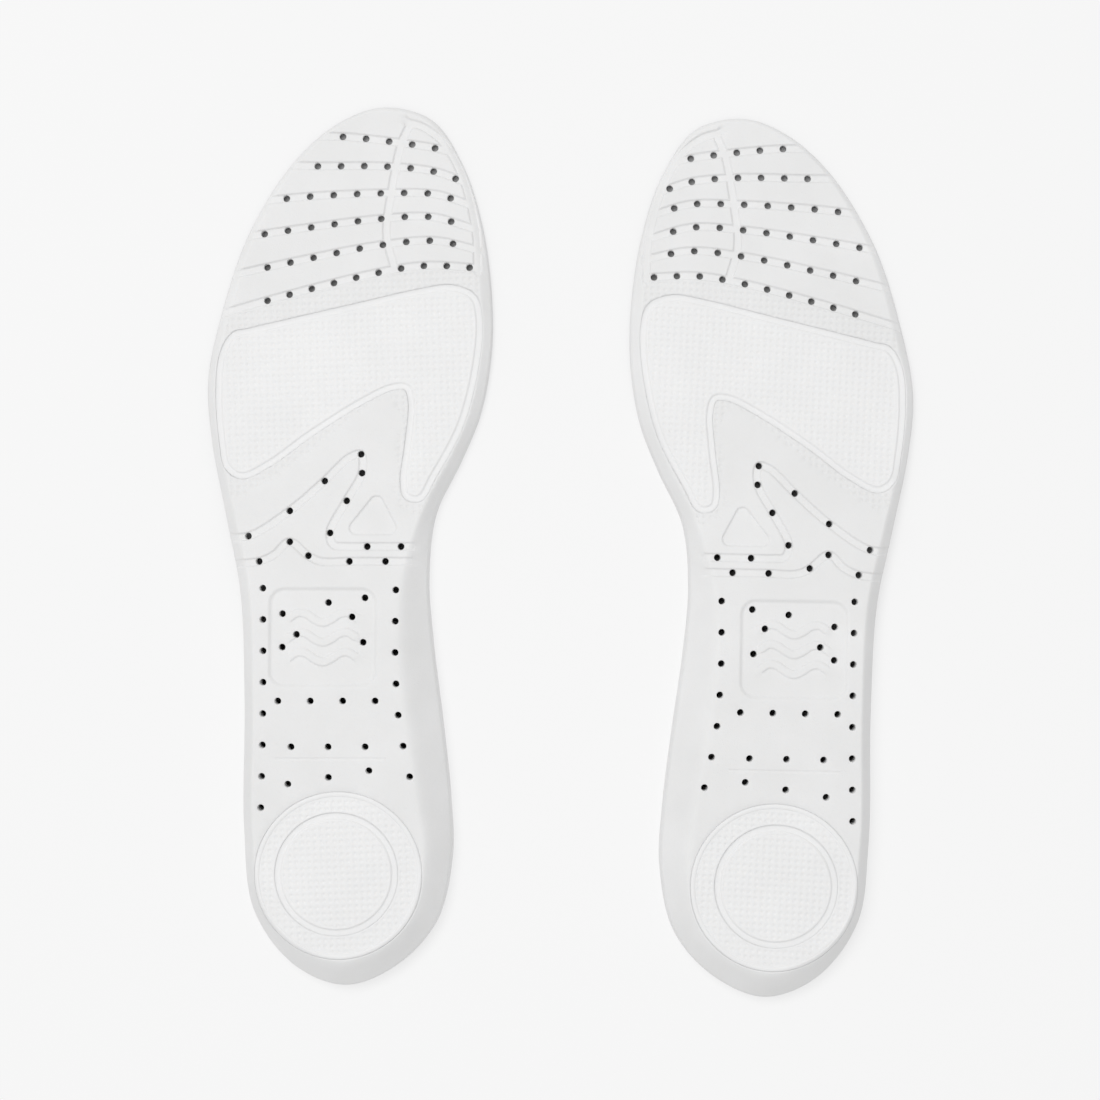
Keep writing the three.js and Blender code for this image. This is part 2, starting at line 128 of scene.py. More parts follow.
# The ball cushion, counter-clockwise. Its groove runs a little outside.
BALL_CUSHION = [
    (-31.4, 207.8), (-36, 206.6), (-39.4, 200.4), (-40.4, 188), (-39.2, 173), (-37.6, 165.4),
    (-33.4, 162.5), (-25, 166.2), (-11.5, 176), (5, 186.4), (14.5, 190.8), (19, 190.6), (20.7, 186),
    (19.8, 173), (18.3, 160.4), (19.3, 155.9), (22.9, 155.3), (27, 162), (35.5, 178.1), (40.2, 196),
    (41.5, 212), (39.6, 219), (33, 221.7), (24, 220.6), (3, 215.8),
]
HEEL = np.array([-2.8, 36.6])  # middle of the heel disc and its groove
RING = np.array([-2.2, 36.2])  # middle of the heel ring's outer border
BADGE = np.array([-7.2, 111.1])
OUTER_COLUMN = [(-26.5, 57.6), (-26, 77), (-25.9, 100), (-26.2, 127)], 8
INNER_COLUMN = [(20.3, 67.3), (17, 84), (15.7, 103), (15.8, 130)], 7
ARCH_ROWS = [
    ((-21.2, 91.1), (9.4, 91.1), 4), ((-17, 76.7), (6.3, 76.7), 3), ((-18, 65), (7.5, 69.2), 3),
]
BADGE_HOLES = [
    (6, 123.5), (-5.5, 122), (-20, 118.5), (2, 117.5), (-15.5, 112), (5.5, 109.5), (-20, 108),
]
WAVE_COUNT = 3
WAVE_SPAN = 21
WAVE_SWING = 1.6
WAVE_SPACING = 6.2
WAVE_CYCLES = 1.5
WAVE_TOP_DEPTH = 0.3
WAVE_HALF = 1.2

# ---- Finer shapes that only the visual model has ----

# Side wall from the rim upwards: a steep foot of one width, and an even slope as wide as the wall
# that rounds over into the sole. Each profile gives shares of its own width and height.
WALL_FOOT_WIDTH = 0.6
WALL_FOOT = 0.4  # the foot's share of the wall's height
FOOT_PROFILE = (0, 0), (0.4, 0.6), (0.8, 0.92), (1.2, 1)
SLOPE_PROFILE = (0, 0), (0.7, 0.8), (0.78, 0.87), (0.86, 0.935), (0.94, 0.98), (1.02, 1)
EDGE_SOFT = 0.35  # half the width of a channel's sloping side
BADGE_SOFT = 0.65  # the same for the badge
WAVE_POINTS = 9  # points that draw one wave
HOLE_SIDES = 20
HOLE_ROUNDING = ((0, 0.12), (0.08, 0.04), (0.22, 0))  # distance out from the hole, drop
POCKET_ROUNDING = 0.35  # width of the rounded border around a pocket
POCKET_DROP = 0.2
SEAM = 0.05  # between a cushion and its pocket
PIT_PITCH = 2.05
PIT_TURN = math.radians(2.2)
PIT_DEPTH = 0.25
PIT_SLOPE = (0.14, 0.38)  # from a pit's bottom up to the net, in shares of the pitch
PIT_STEPS = 6  # mesh points along one pitch
BAND_DROP = 0.08
PAD_CROWN = 0.25
CROWN_WIDTH = 16  # over which the ball cushion rises to its crown
CROWN_SINK = 0.4  # share of the crown that the ball cushion's border lies lower
LIP_WIDTH = 1.6  # smooth rounded lip of the heel ring
LIP_RISE = 0.35
LIP_POWER = 0.7  # at 0.5 the lip would be half an ellipse
GROOVE_FILLET = (0.4, 0.2)  # width and rise of a groove's floor at its outer side
GROOVE_SHARE_ON_RING = 0.55

# Where the texture comes in: distances from what it keeps clear of.
BALL_FADE = (0.5, 1)  # the groove
DISC_FADE = (0.6, 1)  # the disc's border
RING_FADE = (0.5, 0.9)  # the disc's groove
LIP_FADE = (0.35, 0.75)  # the lip
BAND_FADE = (-0.15, 0.25)  # the band's border
BAND_CHANNEL_FADE = (0.4, 0.8)  # a channel's side
BAND_WALL_FADE = (0.75, 1)  # the side wall, in shares of its width

RULE = [(-21.4, 72.9), (12.5, 72.9)]  # thin line across the arch
RULE_HALF = 0.35
RULE_SOFT = 0.2
RULE_DEPTH = 0.2

# Lower border of the textured band around the ball cushion, from the outer side to the inner one.
BAND_BORDER = [
    (-44, 157.8), (-38.2, 157.2), (-33.9, 156), (-18.4, 164.9), (-2.9, 177), (8.4, 185.6),
    (13.6, 187.4), (16.7, 181.7), (15.3, 161), (16.2, 153.4), (20.1, 150.4), (23.1, 150.4),
    (26.7, 154.7), (33, 160),
]
# Its two ends, closed outside the insole.
BAND_INNER_END = [(48, 185), (50, 228), (41.5, 228.4)]
BAND_OUTER_END = [(-43, 213), (-50, 205), (-48, 170), (-44, 157.8)]

# ---- Spacings of the meshes ----

CURVE_STEPS = 40  # between two points of a spline
HOLE_STEP = 0.05  # lines that holes are placed along
LINE_STEP = 0.1  # lines that distances are taken from
BAND_STEP = 0.2  # the textured band's border
RIM_STEP = 0.9
BALL_STEP = 0.45  # the ball cushion's borders
CHANNEL_STEP = 0.5
CORNER_STEP = 0.6  # the badge and the triangle
BORDER_SIDES = 300  # outer borders of the heel cushions
DISC_BORDER_SIDES = 220
GUIDE_SIDES = 260  # circles in between
LINE_GAP = 0.1  # kept free between a line and another piece's border
HOLE_MARGIN = 0.25
TEXTURE_GAP = 0.14
TEXTURE_MARGIN = 0.6  # of the ball cushion's texture points to its groove
BORDER_MARGIN = 0.3  # of the heel cushions' texture points to their borders
BODY_SPACING, BODY_GAP = 2.1, 0.8
PLAIN_SPACING, PLAIN_GAP = 3, 1
CLEAR_SHARE = 0.4  # of the plain spacing, kept free beside the border of a plain floor

WHOLE = (-46, 0), (47, 281)  # a rectangle around the insole
BAND_AREA = (-46, 148), (47, 230)  # one around the textured band
SIDE_OFFSETS = (-0.55, -0.35, -0.18, 0, 0.18, 0.35, 0.55)  # across the side of a channel
FOOT_INSETS = (0.1, 0.24, 0.36, 0.48, 0.6, 0.72)  # in from the outline, over the wall's foot
WALL_SHARES = (0.12, 0.25, 0.4, 0.55, 0.7, 0.78, 0.86, 0.94, 1.02, 1.1)  # of the wall's width
CUP_SHARES = (0.004, 0.02, 0.06, 0.13, 0.24, 0.4, 0.6, 0.8, 1)  # of the foot side's slope
POCKET_LINES = (0.1, 0.22, POCKET_ROUNDING)  # out from a pocket's border
GROOVE_FLOOR_LINES = (-0.8, -0.6)  # in from the middle of the ball cushion's groove
RING_LINES = (0.12, 0.25, 0.35, 0.55, 0.9)  # out from the ring's inner border
LIP_SHARES = (1.2, 1, 0.94, 0.86, 0.7, 0.5, 0.3, 0.14)  # of the lip's width
DISC_LINES = (0.35, 0.15)  # in from the disc's outer border
TRIANGULATE_HULL = 0  # triangles over all that the points enclose
TRIANGULATE_NEAR = 1e-7  # points nearer than this become one

# ---- Small helpers ----


def smooth(low, high, value):
    """0 at low, 1 at high and a soft step between them."""
    share = np.clip((value - low) / (high - low), 0, 1)
    return share * share * (3 - 2 * share)


def mix(a, b, share):
    return a + (b - a) * share


def spline(points, spacing, closed=False):
    """Evenly spaced points on a centripetal Catmull-Rom curve; any third column is carried along."""
    points = np.asarray(points, float)
    if closed:
        guides = np.vstack([points[-1:], points, points[:2]])
    else:
        guides = np.vstack([2 * points[:1] - points[1:2], points, 2 * points[-1:] - points[-2:-1]])
    pieces = []
    for a, b, c, d in zip(guides, guides[1:], guides[2:], guides[3:]):
        gaps = [math.sqrt(np.linalg.norm(q - p)) for p, q in ((a, b), (b, c), (c, d))]
        ta, tb, tc, td = np.cumsum([0] + gaps)
        t = np.linspace(tb, tc, CURVE_STEPS, endpoint=False)[:, None]
        ab = mix(a, b, (t - ta) / (tb - ta))
        bc = mix(b, c, (t - tb) / (tc - tb))
        cd = mix(c, d, (t - tc) / (td - tc))
        abc = mix(ab, bc, (t - ta) / (tc - ta))
        bcd = mix(bc, cd, (t - tb) / (td - tb))
        pieces.append(mix(abc, bcd, (t - tb) / (tc - tb)))
    fine = np.vstack(pieces + [points[:1] if closed else points[-1:]])
    along = np.concatenate([[0], np.cumsum(np.linalg.norm(np.diff(fine[:, :2], axis=0), axis=1))])
    places = np.linspace(0, along[-1], max(round(along[-1] / spacing), 1) + 1)
    even = np.column_stack([np.interp(places, along, column) for column in fine.T])
    return even[:-1] if closed else even


def left_of_way(line, closed=False):
    """Unit vectors to the left of the way along a line."""
    if closed:
        ahead = np.roll(line, -1, 0) - np.roll(line, 1, 0)
    else:
        ahead = np.gradient(line, axis=0)
    ahead = ahead[:, :2] / np.linalg.norm(ahead[:, :2], axis=1, keepdims=True)
    return np.column_stack([-ahead[:, 1], ahead[:, 0]])


def circle(centre, radius, sides):
    angles = 2 * math.pi * np.arange(sides) / sides
    return centre + radius * np.column_stack([np.cos(angles), np.sin(angles)])


class Nearest:
    """Finds the nearest of many points: its number and how far it is."""

    def __init__(self, points):
        self.tree = KDTree(len(points))
        for number, (x, y) in enumerate(points[:, :2]):
            self.tree.insert((x, y, 0), number)
        self.tree.balance()

    def __call__(self, places):
        found = [self.tree.find((x, y, 0)) for x, y in places]
        return np.array([f[1] for f in found], int), np.array([f[2] for f in found])


class Border:
    """A closed line with its inside on the left: gives the distance inwards of any place."""

    def __init__(self, line):
        self.line = line[:, :2]
        self.inward = left_of_way(line, closed=True)
        self.nearest = Nearest(self.line)

    def __call__(self, places):
        number, far = self.nearest(places)
        side = np.sum((places - self.line[number]) * self.inward[number], axis=1)
        return np.where(side < 0, -far, far)


def inset_corners(corners, distance):
    """Corners of a counter-clockwise polygon whose sides have all moved inwards."""
    corners = np.asarray(corners, float)
    moved = []
    for before, here, after in zip(np.roll(corners, 1, 0), corners, np.roll(corners, -1, 0)):
        ways = np.array([here - before, after - here])
        ways /= np.linalg.norm(ways, axis=1, keepdims=True)
        normals = np.column_stack([-ways[:, 1], ways[:, 0]])
        moved.append(np.linalg.solve(normals, normals @ here + distance))
    return np.array(moved)


def rounded_polygon(corners, radius):
    """A function that gives the distance outwards from a polygon with rounded corners."""
    core = inset_corners(corners, radius)

    def distance(places):
        away = np.full(len(places), np.inf)
        depth = np.full(len(places), np.inf)
        for a, b in zip(core, np.roll(core, -1, 0)):
            way = b - a
            share = np.clip((places - a) @ way / (way @ way), 0, 1)
            away = np.minimum(away, np.linalg.norm(places - a - share[:, None] * way, axis=1))
            normal = np.array([-way[1], way[0]]) / np.linalg.norm(way)
            depth = np.minimum(depth, (places - a) @ normal)
        return np.where(depth > 0, -depth, away) - radius

    return distance


def rounded_outline(corners, radius, spacing, outwards=0):
    """Points on a polygon with rounded corners, moved outwards by a distance."""
    core = inset_corners(corners, radius)
    reach = radius + outwards
    points = []
    for before, here, after in zip(np.roll(core, 1, 0), core, np.roll(core, -1, 0)):
        first, last = here - before, after - here
        start = math.atan2(-first[0], first[1])
        turn = (math.atan2(-last[0], last[1]) - start) % (2 * math.pi)
        count = max(round(turn * reach / spacing), 3)
        angles = start + np.linspace(0, turn, count + 1)
        points.extend(here + reach * np.column_stack([np.cos(angles), np.sin(angles)]))
        begin = points[-1]
        end = begin + last
        steps = max(round(np.linalg.norm(last) / spacing), 1)
        points.extend(begin + (end - begin) * k / steps for k in range(1, steps))
    return np.array(points)


# ---- Places on the insole ----

edge = spline(OUTLINE, LINE_STEP, closed=True)
edge_border = Border(edge)


def hollow_at(y):
    """Depth of the heel cup and the arch, along the middle of the insole."""
    return CUP_DEPTH * (1 - smooth(*SLOPE, y))


def sole_at(y):
    """Height of the sole inside the side wall."""
    thickness = mix(HEEL_THICKNESS, BALL_THICKNESS, smooth(*SLOPE, y))
    return hollow_at(y) + mix(thickness, TOE_THICKNESS, smooth(*TOE_TAPER, y))


edge_cup = smooth(0, CUP_FADE, hollow_at(edge[:, 1]))
lift_share = np.clip((edge[:, 1] - LIFT[0]) / (LIFT[1] - LIFT[0]), 0, 1)
edge_rim = OUTER_RIM_LIFT * smooth(0, LIFT_SPREAD, -edge[:, 0]) * np.sin(math.pi * lift_share) ** 2


class Spots:
    """Places in plan, with what the insole's edge is like nearest to each of them."""

    def __init__(self, places, known_inset=None):
        self.places = places
        number, inset = edge_border.nearest(places)
        if known_inset is not None:
            inset = np.where(np.isnan(known_inset), inset, known_inset)
        self.inset = inset
        self.wall = edge[number, 2]
        self.cup = edge_cup[number]
        self.rim = edge_rim[number]


def edge_inset(cup, offset):
    """How far in from the outline the side towards the foot begins."""
    return mix(COVER_INSET / 2 if offset > 0 else COVER_INSET, RIM_WIDTH - offset, cup)


def foot_side(spots, offset):
    """Height of the side towards the foot, moved up and outwards by an offset."""
    spread = spots.wall + CUP_SPREAD + offset
    share = np.clip((spots.inset - edge_inset(spots.cup, offset)) / spread, 0, 1)
    rim = spots.rim + mix(offset, 0, spots.cup)
    return mix(rim, hollow_at(spots.places[:, 1]) + offset, np.sqrt(1 - (1 - share) ** 2))


def wall_share(spots):
    """How far up the side wall each place is, from 0 at the rim to 1 on the sole."""
    foot = np.interp(spots.inset / WALL_FOOT_WIDTH, *zip(*FOOT_PROFILE))
    slope = np.interp(spots.inset / spots.wall, *zip(*SLOPE_PROFILE))
    return mix(slope, foot, WALL_FOOT)


def sole_side(spots):
    """Height of the sole and the side wall, before anything is moulded into them."""
    rim = spots.rim + mix(FOAM_OFFSET, 0, spots.cup)
    return mix(rim, sole_at(spots.places[:, 1]), wall_share(spots))


# ---- Pattern of the sole ----


def holes_along(line, start, step, count):
    numbers = np.minimum((start + step * np.arange(count)) / HOLE_STEP, len(line) - 1)
    return line[numbers.round().astype(int)]


def spread_holes(path, first_x, count, pitch):
    """The holes of a toe channel, closer together where the channel ends before they do."""
    line = spline(path, HOLE_STEP)
    start = np.argmax(line[:, 0] >= first_x) * HOLE_STEP
    length = (len(line) - 1) * HOLE_STEP
    step = min(pitch, (length - start) / (count - 1))
    return holes_along(line, start, step, count)


def column_holes(path, count):
    return holes_along(spline(path, HOLE_STEP), 0, ARCH_HOLE_PITCH, count)


holes = np.vstack(
    [spread_holes(*channel) for channel in TOE_CHANNELS]
    + [np.array([point[:2] for path in FLEX_CHANNELS for point in path if len(point) > 2])]
    + [np.array(BADGE_HOLES), column_holes(*OUTER_COLUMN), column_holes(*INNER_COLUMN)]
    + [np.linspace(start, end, count) for start, end, count in ARCH_ROWS]
)
nearest_hole = Nearest(holes)

channel_paths = [path for path, *_ in TOE_CHANNELS] + [BIG_TOE_CHANNEL, INNER_TOE_CHANNEL]
channel_paths += [[point[:2] for point in path] for path in FLEX_CHANNELS]
near_channel = Nearest(np.vstack([spline(path, LINE_STEP) for path in channel_paths]))

wave_lines = []
for wave in range(WAVE_COUNT):
    share = np.linspace(0, 1, WAVE_POINTS)
    middle = BADGE[1] + (wave - (WAVE_COUNT - 1) / 2) * WAVE_SPACING
    swing = WAVE_SWING * np.sin(2 * math.pi * WAVE_CYCLES * share)
    wave_lines.append(np.column_stack([BADGE[0] + (share - 0.5) * WAVE_SPAN, middle + swing]))
near_wave = Nearest(np.vstack([spline(line, LINE_STEP) for line in wave_lines]))
near_rule = Nearest(spline(RULE, LINE_STEP))

half_badge = np.array(BADGE_SIZE) / 2
badge_corners = [BADGE + half_badge * sign for sign in ((-1, -1), (1, -1), (1, 1), (-1, 1))]
out_of_badge = rounded_polygon(badge_corners, BADGE_CORNER)
out_of_triangle = rounded_polygon(TRIANGLE, TRIANGLE_CORNER)

ball_drawn = spline(BALL_CUSHION, LINE_STEP, closed=True)
groove = ball_drawn - GROOVE_OUTSET * left_of_way(ball_drawn, closed=True)
in_groove = Border(groove)

last_toe_channel = TOE_CHANNELS[-1][0]
band_lines = [BAND_BORDER, BAND_INNER_END, last_toe_channel[::-1], BAND_OUTER_END]
in_band = Border(np.vstack([spline(line, BAND_STEP) for line in band_lines]))


def ramp(distance, half, soft):
    """1 inside a shape, 0 outside, with a soft slope at its edge."""
    return 1 - smooth(half - soft, half + soft, distance)


pit_cos, pit_sin = math.cos(PIT_TURN), math.sin(PIT_TURN)
TO_PITS = np.array([[pit_cos, -pit_sin], [pit_sin, pit_cos]])
FROM_PITS = np.array([[pit_cos, pit_sin], [-pit_sin, pit_cos]])


def pits(places):
    """The moulded texture: 0 on its net, 1 at the bottom of its pits."""
    turned = (places - HEEL) @ TO_PITS / PIT_PITCH
    away = np.linalg.norm(turned - np.round(turned), axis=1)
    return 1 - smooth(*PIT_SLOPE, away)


def pit_grid(low, high):
    """Points in step with the texture, over a rectangle."""
    reach = int(np.linalg.norm(np.subtract(high, low)) / PIT_PITCH * PIT_STEPS)
    middle = (np.add(low, high) / 2 - HEEL) @ TO_PITS / PIT_PITCH
    base = np.round(middle * PIT_STEPS)
    numbers = np.arange(-reach, reach + 1)
    u, v = np.meshgrid(base[0] + numbers, base[1] + numbers)
    flat = np.column_stack([u.ravel(), v.ravel()]) / PIT_STEPS * PIT_PITCH
    places = flat @ FROM_PITS + HEEL
    return places[np.all((places > low) & (places < high), axis=1)]


def band_share(spots):
    """1 in the textured band around the ball cushion and 0 elsewhere."""
    inside = smooth(*BAND_FADE, in_band(spots.places))
    clear_of_edge = smooth(*BAND_WALL_FADE, spots.inset / spots.wall)
    near, far = (CHANNEL_HALF + out for out in BAND_CHANNEL_FADE)
    clear_of_channel = smooth(near, far, near_channel(spots.places)[1])
    return inside * clear_of_edge * clear_of_channel


def body_top(spots):
    """Height of the foam body's sole, with all that is moulded into it."""
    places = spots.places
    badge = BADGE_DEPTH * ramp(out_of_badge(places), 0, BADGE_SOFT)
    wave = ramp(near_wave(places)[1], WAVE_HALF, EDGE_SOFT)
    cut = mix(badge, np.minimum(badge, WAVE_TOP_DEPTH), wave)
    cut = np.maximum(cut, CHANNEL_DEPTH * ramp(near_channel(places)[1], CHANNEL_HALF, EDGE_SOFT))
    cut = np.maximum(cut, CHANNEL_DEPTH * ramp(out_of_triangle(places), 0, EDGE_SOFT))
    cut += RULE_DEPTH * ramp(near_rule(places)[1], RULE_HALF, RULE_SOFT)
    cut += band_share(spots) * (BAND_DROP + PIT_DEPTH * pits(places))
    far = nearest_hole(places)[1] - HOLE_RADIUS
    cut += np.interp(far, *zip(*HOLE_ROUNDING))
    from_ball = -in_groove(places) - GROOVE_HALF
    from_ring = np.linalg.norm(places - RING, axis=1) - RING_RADIUS
    cut += POCKET_DROP * (1 - smooth(0, POCKET_ROUNDING, np.minimum(from_ball, from_ring)))
    return sole_side(spots) - cut * wall_share(spots)


# ---- Height fields ----


class Field:
    """Points and lines in plan that are triangulated together."""

    def __init__(self):
        self.points = []
        self.insets = []
        self.edges = []
        self.loops = {}

    def line(self, points, closed=False, inset=np.nan):
        first = len(self.points)
        self.points.extend(map(tuple, points[:, :2]))
        self.insets.extend(np.broadcast_to(inset, len(points)))
        numbers = list(range(first, len(self.points)))
        self.edges.extend(zip(numbers, numbers[1:]))
        if closed:
            self.edges.append((numbers[-1], first))
        return numbers

    def loop(self, name, points, inset=np.nan):
        """A border of the field, or of an opening in it."""
        self.loops[name] = self.line(points, closed=True, inset=inset)

    def clipped(self, points, allowed, inset=np.nan):
        """A line, left out where it isn't allowed."""
        inset = np.broadcast_to(inset, len(points))
        keep = allowed(points[:, :2])
        runs = np.split(np.arange(len(points)), np.flatnonzero(np.diff(keep)) + 1)
        for run in runs:
            if keep[run[0]] and len(run) > 1:
                self.line(points[run], inset=inset[run])

    def free(self, places, gap):
        """Loose points, where none of the lines is nearer than the gap."""
        clear = Nearest(np.array(self.points))(places)[1] > gap
        self.points.extend(map(tuple, places[clear]))
        self.insets.extend([np.nan] * int(clear.sum()))

    def build(self, outer, height):
        """Vertices, triangles that face up, and each loop's vertex numbers."""
        names = list(self.loops)
        made = delaunay_2d_cdt(
            [Vector(p) for p in self.points], self.edges, [self.loops[n] for n in names],
            TRIANGULATE_HULL, TRIANGULATE_NEAR, True,
        )
        places = np.array([tuple(v) for v in made[0]])
        inside = names.index(outer)
        openings = set(range(len(names))) - {inside}
        triangles = [
            face for face, within in zip(made[2], made[5])
            if inside in within and not openings & set(within)
        ]
        number = {}
        insets = np.full(len(places), np.nan)
        for new, olds in enumerate(made[3]):
            for old in olds:
                number[old] = new
                if not math.isnan(self.insets[old]):
                    insets[new] = self.insets[old]
        triangles = np.array(triangles)
        a, b, c = (places[triangles[:, k]] for k in range(3))
        area = np.cross(b - a, c - a)
        triangles[area < 0] = triangles[area < 0][:, ::-1]
        used = np.unique(triangles)
        renumber = np.full(len(places), -1)
        renumber[used] = np.arange(len(used))
        z = height(Spots(places[used], insets[used]))
        loops = {n: renumber[[number[i] for i in self.loops[n]]] for n in names}
        return np.column_stack([places[used], z]), renumber[triangles], loops


class Plan:
    """A closed line on the ground, in the form that placed() takes."""

    def __init__(self, line):
        self.vertices = np.column_stack([line, np.zeros(len(line))])
        self.faces = [list(range(len(line)))]


class Solid:
    """A closed mesh, put together from height fields and the walls between their borders."""

    def __init__(self):
        self.vertices = np.zeros((0, 3))
        self.faces = []

    def add(self, built, up=True):
        vertices, triangles, loops = built
        first = len(self.vertices)
        self.vertices = np.vstack([self.vertices, vertices])
        turned = triangles if up else triangles[:, ::-1]
        self.faces.extend((turned + first).tolist())
        return {name: numbers + first for name, numbers in loops.items()}

    def wall(self, upper, lower, outside=True):
        """Four-sided faces between two loops, facing out of the border or into an opening."""
        if not outside:
            upper, lower = upper[::-1], lower[::-1]
        following = zip(upper, np.roll(upper, -1), np.roll(lower, -1), lower)
        self.faces.extend([d, c, b, a] for a, b, c, d in following)

    def weld(self, kept, dropped):
        """Makes two loops at one place into one, and forgets the vertices of the other."""
        target = np.arange(len(self.vertices))
        target[dropped] = kept
        used = np.setdiff1d(target, dropped)
        number = np.zeros(len(target), int)
        number[used] = np.arange(len(used))
        self.vertices = self.vertices[used]
        self.faces = [number[target[face]].tolist() for face in self.faces]


def allowed_on_body(places):
    """Where a line may run on the foam's sole: clear of the rim, the holes and the pockets."""
    inside = edge_border(places) > FOOT_INSETS[-1] + LINE_GAP
    clear = nearest_hole(places)[1] > HOLE_RADIUS + HOLE_ROUNDING[-1][0] + LINE_GAP
    out_of_ball = in_groove(places) < -GROOVE_HALF - POCKET_ROUNDING - LINE_GAP
    out_of_heel = np.linalg.norm(places - RING, axis=1) > RING_RADIUS + POCKET_ROUNDING + LINE_GAP
    return inside & clear & out_of_ball & out_of_heel


def allowed_on_foot_side(places):
    return nearest_hole(places)[1] > HOLE_RADIUS + HOLE_MARGIN


rim_line = spline(OUTLINE, RIM_STEP, closed=True)
rim_inward = left_of_way(rim_line, closed=True)
rim_number = edge_border.nearest(rim_line[:, :2])[0]
rim_cup, rim_wall = edge_cup[rim_number], edge[rim_number, 2]


def rim_at(inset):
    """The outline, moved inwards by one distance for each of its points."""
    return rim_line[:, :2] + rim_inward * np.broadcast_to(inset, len(rim_line))[:, None]


def grid(low, high, spacing):
    """Points over a rectangle, every other row shifted by half the spacing."""
    x = np.arange(low[0], high[0], float(spacing))
    y = np.arange(low[1], high[1], float(spacing))
    u, v = np.meshgrid(x, y)
    u[1::2] += spacing / 2
    return np.column_stack([u.ravel(), v.ravel()])


def shoulder_lines(field, path, half):
    """The lines along both sides of a channel that keep its slopes crisp."""
    line = spline(path, CHANNEL_STEP)
    normal = left_of_way(line)
    for side in (-1, 1):
        for offset in SIDE_OFFSETS:
            field.clipped(line[:, :2] + side * (half + offset) * normal, allowed_on_body)
    field.clipped(line[:, :2], allowed_on_body)


ball_pocket = spline(BALL_CUSHION, BALL_STEP, closed=True)
ball_inward = left_of_way(ball_pocket, closed=True)


def ball_line(inwards):
    """The middle of the ball cushion's groove, moved inwards."""
    return ball_pocket[:, :2] + (inwards - GROOVE_OUTSET) * ball_inward


def body_top_field():
    """The sole of the foam body, open at the vent holes and the pockets."""
    field = Field()
    field.loop("outline", rim_at(0), inset=0)
    for inset in FOOT_INSETS:
        field.line(rim_at(inset), closed=True, inset=inset)
    around = np.arange(len(rim_line) + 1) % len(rim_line)
    for share in WALL_SHARES:
        inset = rim_wall * share
        field.clipped(rim_at(inset)[around], allowed_on_body, inset[around])
    for number, hole in enumerate(holes):
        field.loop(f"hole {number}", circle(hole, HOLE_RADIUS, HOLE_SIDES))
        for out, _ in HOLE_ROUNDING[1:]:
            field.line(circle(hole, HOLE_RADIUS + out, HOLE_SIDES), closed=True)
    field.loop("ball", ball_line(-GROOVE_HALF))
    field.loop("heel", circle(RING, RING_RADIUS, BORDER_SIDES))
    for out in POCKET_LINES:
        field.line(ball_line(-GROOVE_HALF - out), closed=True)
        field.line(circle(RING, RING_RADIUS + out, BORDER_SIDES), closed=True)
    for path in channel_paths:
        shoulder_lines(field, path, CHANNEL_HALF)
    for line in wave_lines:
        shoulder_lines(field, line, WAVE_HALF)
    shoulder_lines(field, RULE, RULE_HALF)
    for offset in SIDE_OFFSETS:
        badge_offset = offset * BADGE_SOFT / EDGE_SOFT
        triangle = rounded_outline(TRIANGLE, TRIANGLE_CORNER, CORNER_STEP, offset)
        badge = rounded_outline(badge_corners, BADGE_CORNER, CORNER_STEP, badge_offset)
        for line in (triangle, badge):
            field.clipped(np.vstack([line, line[:1]]), allowed_on_body)
    texture = pit_grid(*BAND_AREA)
    textured = band_share(Spots(texture)) > 0.02
    field.free(texture[textured & allowed_on_body(texture)], TEXTURE_GAP)
    field.free(grid(*WHOLE, BODY_SPACING), BODY_GAP)
    return field


def foot_side_field(offset, loop_inset, extra_insets=()):
    """The side towards the foot, from a rim line inwards, with the vent holes."""
    field = Field()
    field.loop("outline", rim_at(loop_inset), inset=loop_inset)
    start = edge_inset(rim_cup, offset)
    insets = list(extra_insets)
    insets += [start + share * (rim_wall + CUP_SPREAD + offset) for share in CUP_SHARES]
    again = np.arange(len(rim_line) + 1) % len(rim_line)
    for inset in insets:
        field.clipped(rim_at(inset)[again], allowed_on_foot_side, inset[again])
    for number, hole in enumerate(holes):
        field.loop(f"hole {number}", circle(hole, HOLE_RADIUS, HOLE_SIDES))
    field.free(grid(*WHOLE, PLAIN_SPACING), PLAIN_GAP)
    return field


def floor_field(loops):
    """A plain surface between borders: a pocket's floor or a cushion's underside."""
    field = Field()
    for name, line in loops.items():
        field.loop(name, line)
    low = np.min([line.min(0) for line in loops.values()], axis=0)
    high = np.max([line.max(0) for line in loops.values()], axis=0)
    field.free(grid(low, high, PLAIN_SPACING), PLAIN_SPACING * CLEAR_SHARE)
    return field


def below_sole(depth):
    return lambda spots: sole_side(spots) - depth


def foam_body():
    solid = Solid()
    top = solid.add(body_top_field().build("outline", body_top))
    start = edge_inset(rim_cup, FOAM_OFFSET)
    under_field = foot_side_field(FOAM_OFFSET, np.zeros(len(rim_line)), [start])
    under = solid.add(under_field.build("outline", lambda s: foot_side(s, FOAM_OFFSET)), up=False)
    pockets = {
        "ball": (ball_line(-GROOVE_HALF), BALL_PAD_THICKNESS),
        "heel": (circle(RING, RING_RADIUS, BORDER_SIDES), HEEL_PAD_THICKNESS),
    }
    for name, (line, thickness) in pockets.items():
        height = below_sole(thickness + POCKET_CLEARANCE)
        floor = solid.add(floor_field({name: line}).build(name, height))
        solid.wall(top[name], floor[name], outside=False)
    for name in top:
        if name.startswith("hole"):
            solid.wall(top[name], under[name], outside=False)
    solid.weld(top["outline"], under["outline"])
    return solid


